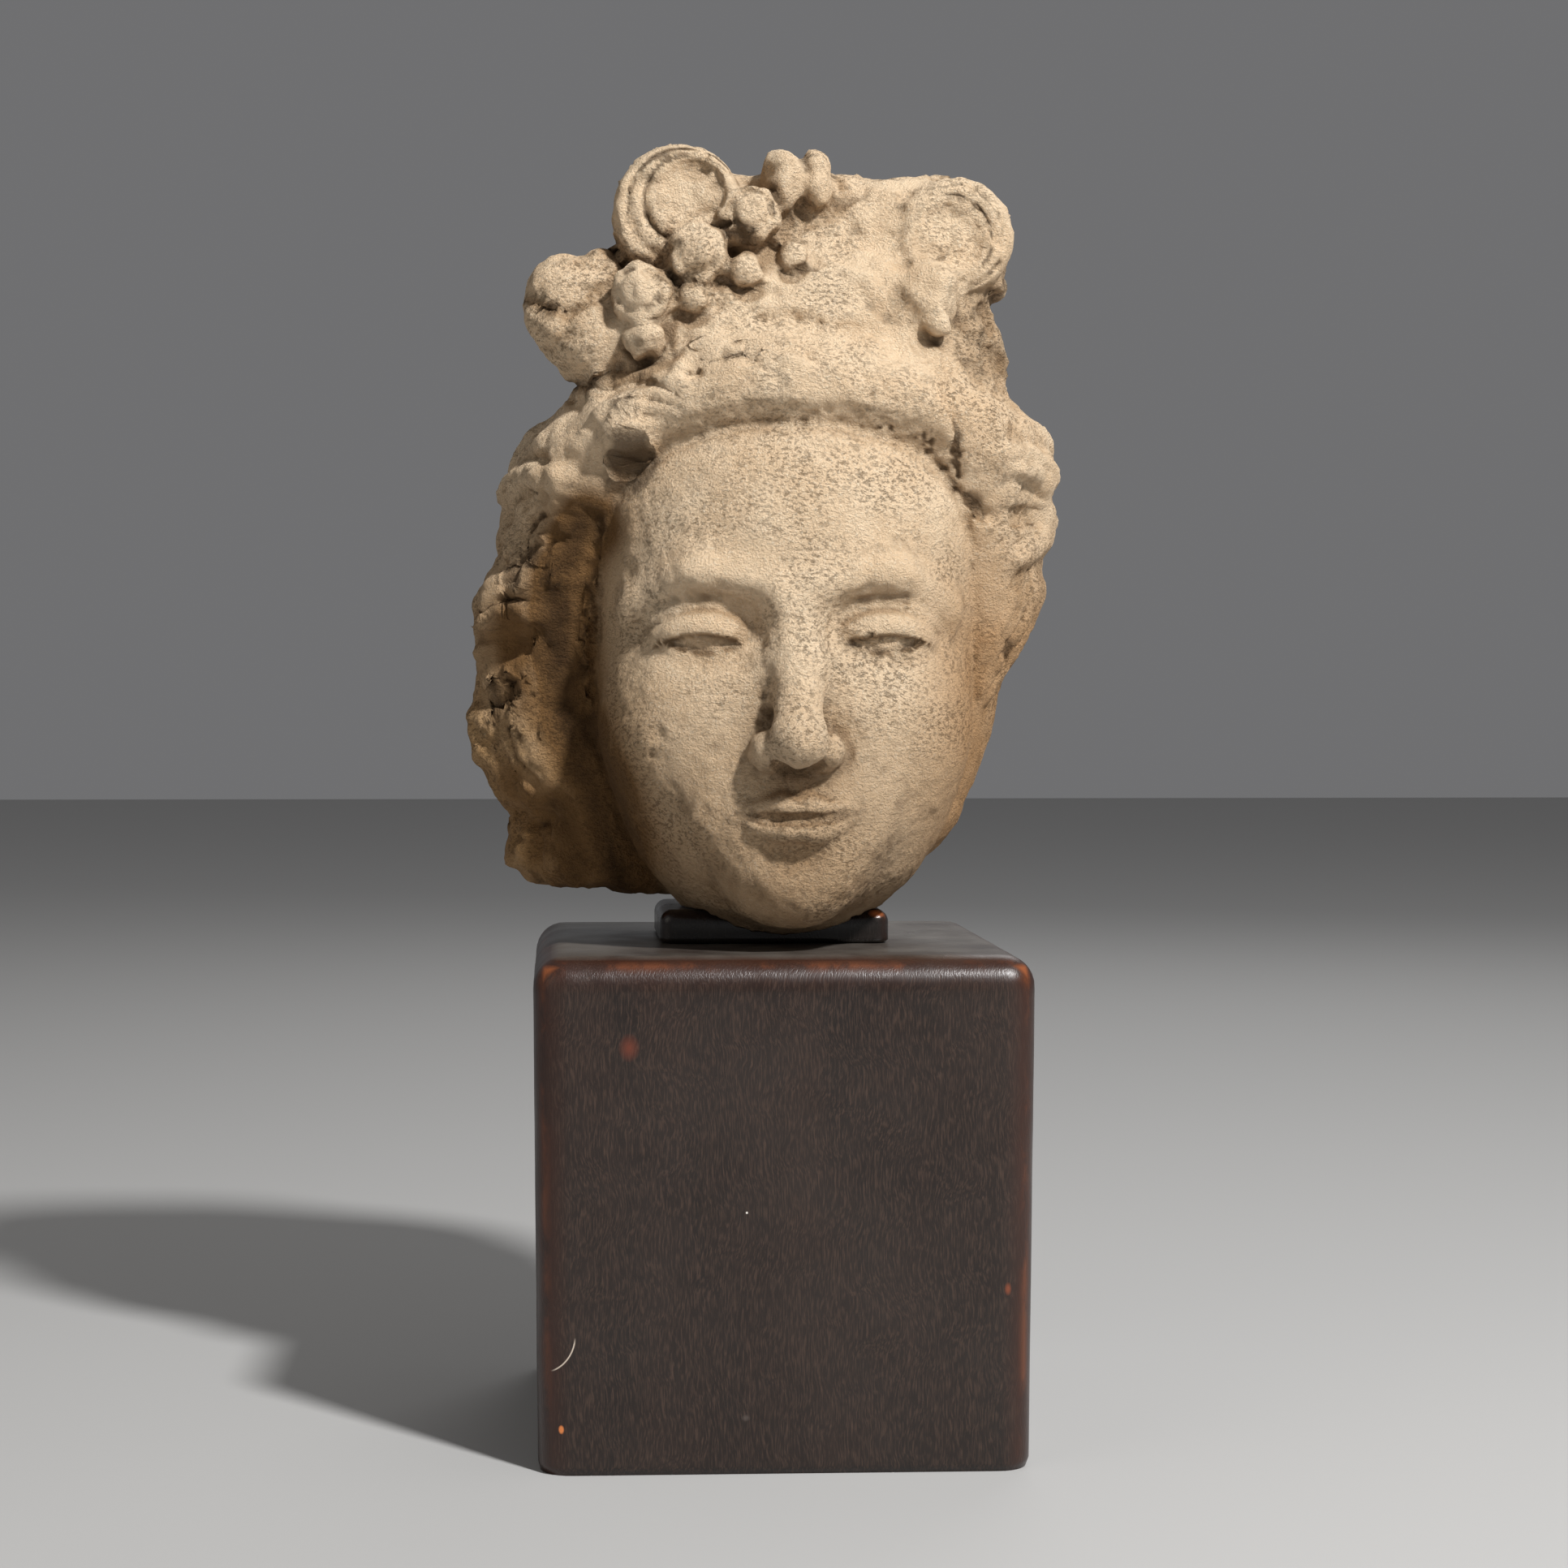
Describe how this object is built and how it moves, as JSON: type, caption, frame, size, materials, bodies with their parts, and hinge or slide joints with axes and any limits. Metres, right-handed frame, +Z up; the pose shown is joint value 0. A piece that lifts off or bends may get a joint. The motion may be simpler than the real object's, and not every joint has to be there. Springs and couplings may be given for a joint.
{
  "type": "bodhisattva head on a stand",
  "caption": "Broken-off terracotta head with wavy hair, looped topknot and flower buds, resting on a wooden riser and a rounded wooden plinth.",
  "frame": {"origin": "middle of the plinth's underside", "axes": "+Z up, the face looks along -Y, +X is at the right of someone who looks at the face"},
  "size_m": [0.1935, 0.1662, 0.401],
  "materials": {
    "terracotta": "matt, granular, pitted and worn fired clay",
    "dark_wood": "satin, dark stained hardwood with reddish worn edges"
  },
  "bodies": {
    "root": {"head": "terracotta", "riser": "dark_wood", "plinth": "dark_wood"}
  },
  "joints": []
}
